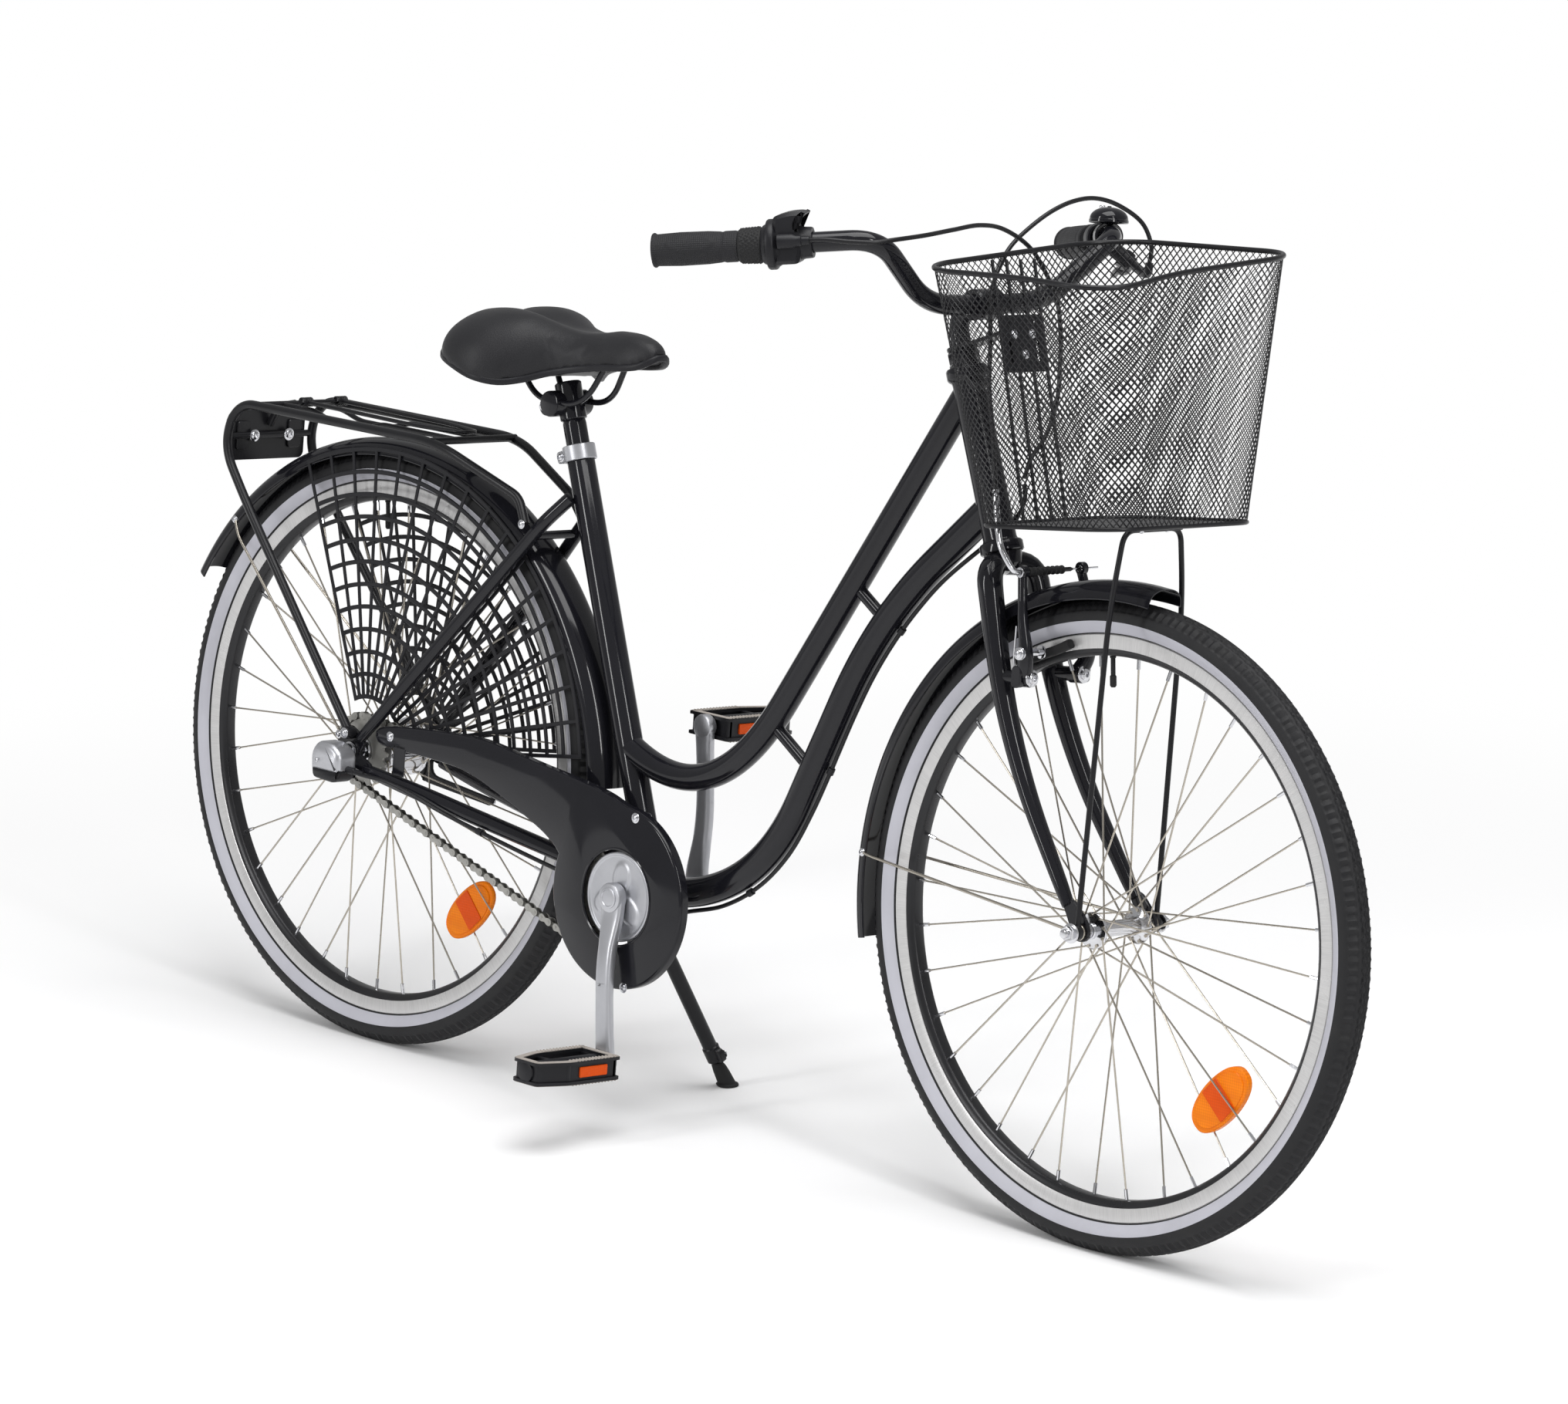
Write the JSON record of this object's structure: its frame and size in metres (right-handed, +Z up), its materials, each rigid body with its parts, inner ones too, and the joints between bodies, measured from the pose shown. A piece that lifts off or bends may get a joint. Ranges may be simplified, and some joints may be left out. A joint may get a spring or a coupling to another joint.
{
  "type": "bicycle on stand",
  "caption": "Step-through city bicycle leaning on its side stand, with wire front basket, rear rack, chain guard, skirt guards, full fenders and padded saddle.",
  "frame": {"origin": "centre of the bounding box's bottom, on the ground the tyres and stand rest on", "axes": "+X forwards along the wheelbase, +Y to the rider's left, the side it leans to, +Z up"},
  "size_m": [1.8586, 0.672, 1.0887],
  "materials": {
    "enamel": "deep gloss black enamel",
    "satin_black": "satin black powder coat",
    "steel": "bright zinc and stainless steel",
    "aluminium": "satin silver alloy",
    "plastic": "moulded black plastic",
    "tyre": "black tread with a pale grey sidewall band",
    "rubber": "matte black rubber with fine ribs",
    "cable": "black cable housing",
    "vinyl": "matte black vinyl, padded",
    "amber": "amber prismatic reflector"
  },
  "bodies": {
    "root": {"head_tube": "enamel", "upper_tube": "enamel", "lower_tube": "enamel", "seat_tube": "enamel", "bottom_bracket_shell": "enamel", "left_chain_stay": "enamel", "right_chain_stay": "enamel", "left_seat_stay": "enamel", "right_seat_stay": "enamel", "seat_clamp": "aluminium", "rear_fender": "enamel", "left_skirt_guard": "plastic", "right_skirt_guard": "plastic", "chain_guard": "satin_black", "chain": "steel", "rear_axle": "steel", "shift_box": "plastic", "coaster_arm": "satin_black", "rack_frame": "satin_black", "shift_cable_rear": "cable"},
    "steering": {"fork": "enamel", "front_fender": "enamel", "front_axle": "steel", "stem": "aluminium", "handlebar": "satin_black", "left_grip": "rubber", "right_grip": "rubber", "shifter_housing": "plastic", "brake_lever_mount": "satin_black", "bell": "satin_black", "basket": "satin_black", "basket_bracket": "satin_black", "basket_stay": "satin_black", "front_brake_cable": "cable", "shift_cable_front": "cable"},
    "front_wheel": {"front_hub": "aluminium", "front_rim": "aluminium", "front_tyre": "tyre", "front_reflector": "amber"},
    "rear_wheel": {"rear_hub": "aluminium", "rear_rim": "aluminium", "rear_tyre": "tyre", "rear_reflector": "amber"},
    "rear_sprocket": {"rear_sprocket": "steel"},
    "crankset": {"crank_axle": "steel", "chainring": "aluminium", "left_crank": "aluminium", "right_crank": "aluminium"},
    "left_pedal": {"left_pedal": "plastic"},
    "right_pedal": {"right_pedal": "plastic"},
    "stand": {"stand_leg": "enamel"},
    "rack_clip": {"rack_clip": "satin_black"},
    "seat": {"seat_post": "steel", "saddle_rails": "steel", "saddle": "vinyl"},
    "left_brake_arm": {"left_brake_arm": "steel"},
    "right_brake_arm": {"right_brake_arm": "steel"},
    "brake_lever": {"brake_lever": "satin_black"},
    "bell_lever": {"bell_lever": "plastic"},
    "twist_grip": {"twist_grip": "rubber"}
  },
  "joints": [
    {"name": "steering_turn", "type": "hinge", "parent": "root", "child": "steering", "pos_m": [0.372, -0.03146, 0.72233], "axis": [-0.3665, 0.0973, 0.9253], "range_deg": [-60, 60]},
    {"name": "front_wheel_spin", "type": "hinge", "parent": "steering", "child": "front_wheel", "pos_m": [0.58, -0.07086, 0.3474], "axis": [0, 0.9945, -0.1045], "continuous": true},
    {"name": "rear_wheel_spin", "type": "hinge", "parent": "root", "child": "rear_wheel", "pos_m": [-0.58, -0.07086, 0.3474], "axis": [0, 0.9945, -0.1045], "continuous": true},
    {"name": "crank_spin", "type": "hinge", "parent": "root", "child": "crankset", "pos_m": [-0.121, -0.08038, 0.25689], "axis": [0, 0.9945, -0.1045], "range_deg": [-138, 178]},
    {"name": "rear_sprocket_spin", "type": "hinge", "parent": "root", "child": "rear_sprocket", "pos_m": [-0.58, -0.07086, 0.3474], "axis": [0, 0.9945, -0.1045], "continuous": true},
    {"name": "left_pedal_spin", "type": "hinge", "parent": "crankset", "child": "left_pedal", "pos_m": [-0.14355, -0.06118, 0.43951], "axis": [0, 0.9945, -0.1045], "continuous": true},
    {"name": "right_pedal_spin", "type": "hinge", "parent": "crankset", "child": "right_pedal", "pos_m": [-0.09845, -0.09957, 0.07428], "axis": [0, 0.9945, -0.1045], "continuous": true},
    {"name": "stand_fold", "type": "hinge", "parent": "root", "child": "stand", "pos_m": [-0.165, -0.0586, 0.21539], "axis": [0, 0.9759, 0.2181], "range_deg": [0, 100]},
    {"name": "brake_lever_pull", "type": "hinge", "parent": "steering", "child": "brake_lever", "pos_m": [0.2791, 0.25656, 0.99321], "axis": [0.2667, 0.6435, 0.7175], "range_deg": [0, 14], "stiffness_Nm_per_rad": 1, "springref_deg": -17.19},
    {"name": "left_brake_arm_close", "type": "hinge", "parent": "steering", "child": "left_brake_arm", "pos_m": [0.422, -0.00411, 0.59025], "axis": [0.9932, 0.0121, 0.1154], "range_deg": [0, 2.3]},
    {"name": "right_brake_arm_close", "type": "hinge", "parent": "steering", "child": "right_brake_arm", "pos_m": [0.422, -0.08567, 0.59882], "axis": [0.9932, 0.0121, 0.1154], "range_deg": [-2.3, 0]},
    {"name": "twist_grip_turn", "type": "hinge", "parent": "steering", "child": "twist_grip", "pos_m": [0.22075, -0.26189, 1.06291], "axis": [0.8072, 0.5851, 0.0786], "range_deg": [0, 60]},
    {"name": "bell_lever_flick", "type": "hinge", "parent": "steering", "child": "bell_lever", "pos_m": [0.27603, 0.22795, 1.03341], "axis": [-0.5792, -0.8109, 0.0842], "range_deg": [0, 20], "stiffness_Nm_per_rad": 0.05, "springref_deg": -17.19},
    {"name": "rack_clip_lift", "type": "hinge", "parent": "root", "child": "rack_clip", "pos_m": [-0.74, -0.03018, 0.73446], "axis": [0, 0.9945, -0.1045], "range_deg": [-50, 0], "stiffness_Nm_per_rad": 1.2, "springref_deg": 28.65},
    {"name": "seat_height", "type": "slide", "parent": "root", "child": "seat", "axis": [-0.342, 0.0982, 0.9345], "range_m": [-0.03, 0.07]}
  ],
  "couplings": [
    {"joint": "rear_sprocket_spin", "follows": "crank_spin", "ratio": 2.1},
    {"joint": "left_brake_arm_close", "follows": "brake_lever_pull", "ratio": 0.157},
    {"joint": "right_brake_arm_close", "follows": "brake_lever_pull", "ratio": -0.157}
  ]
}
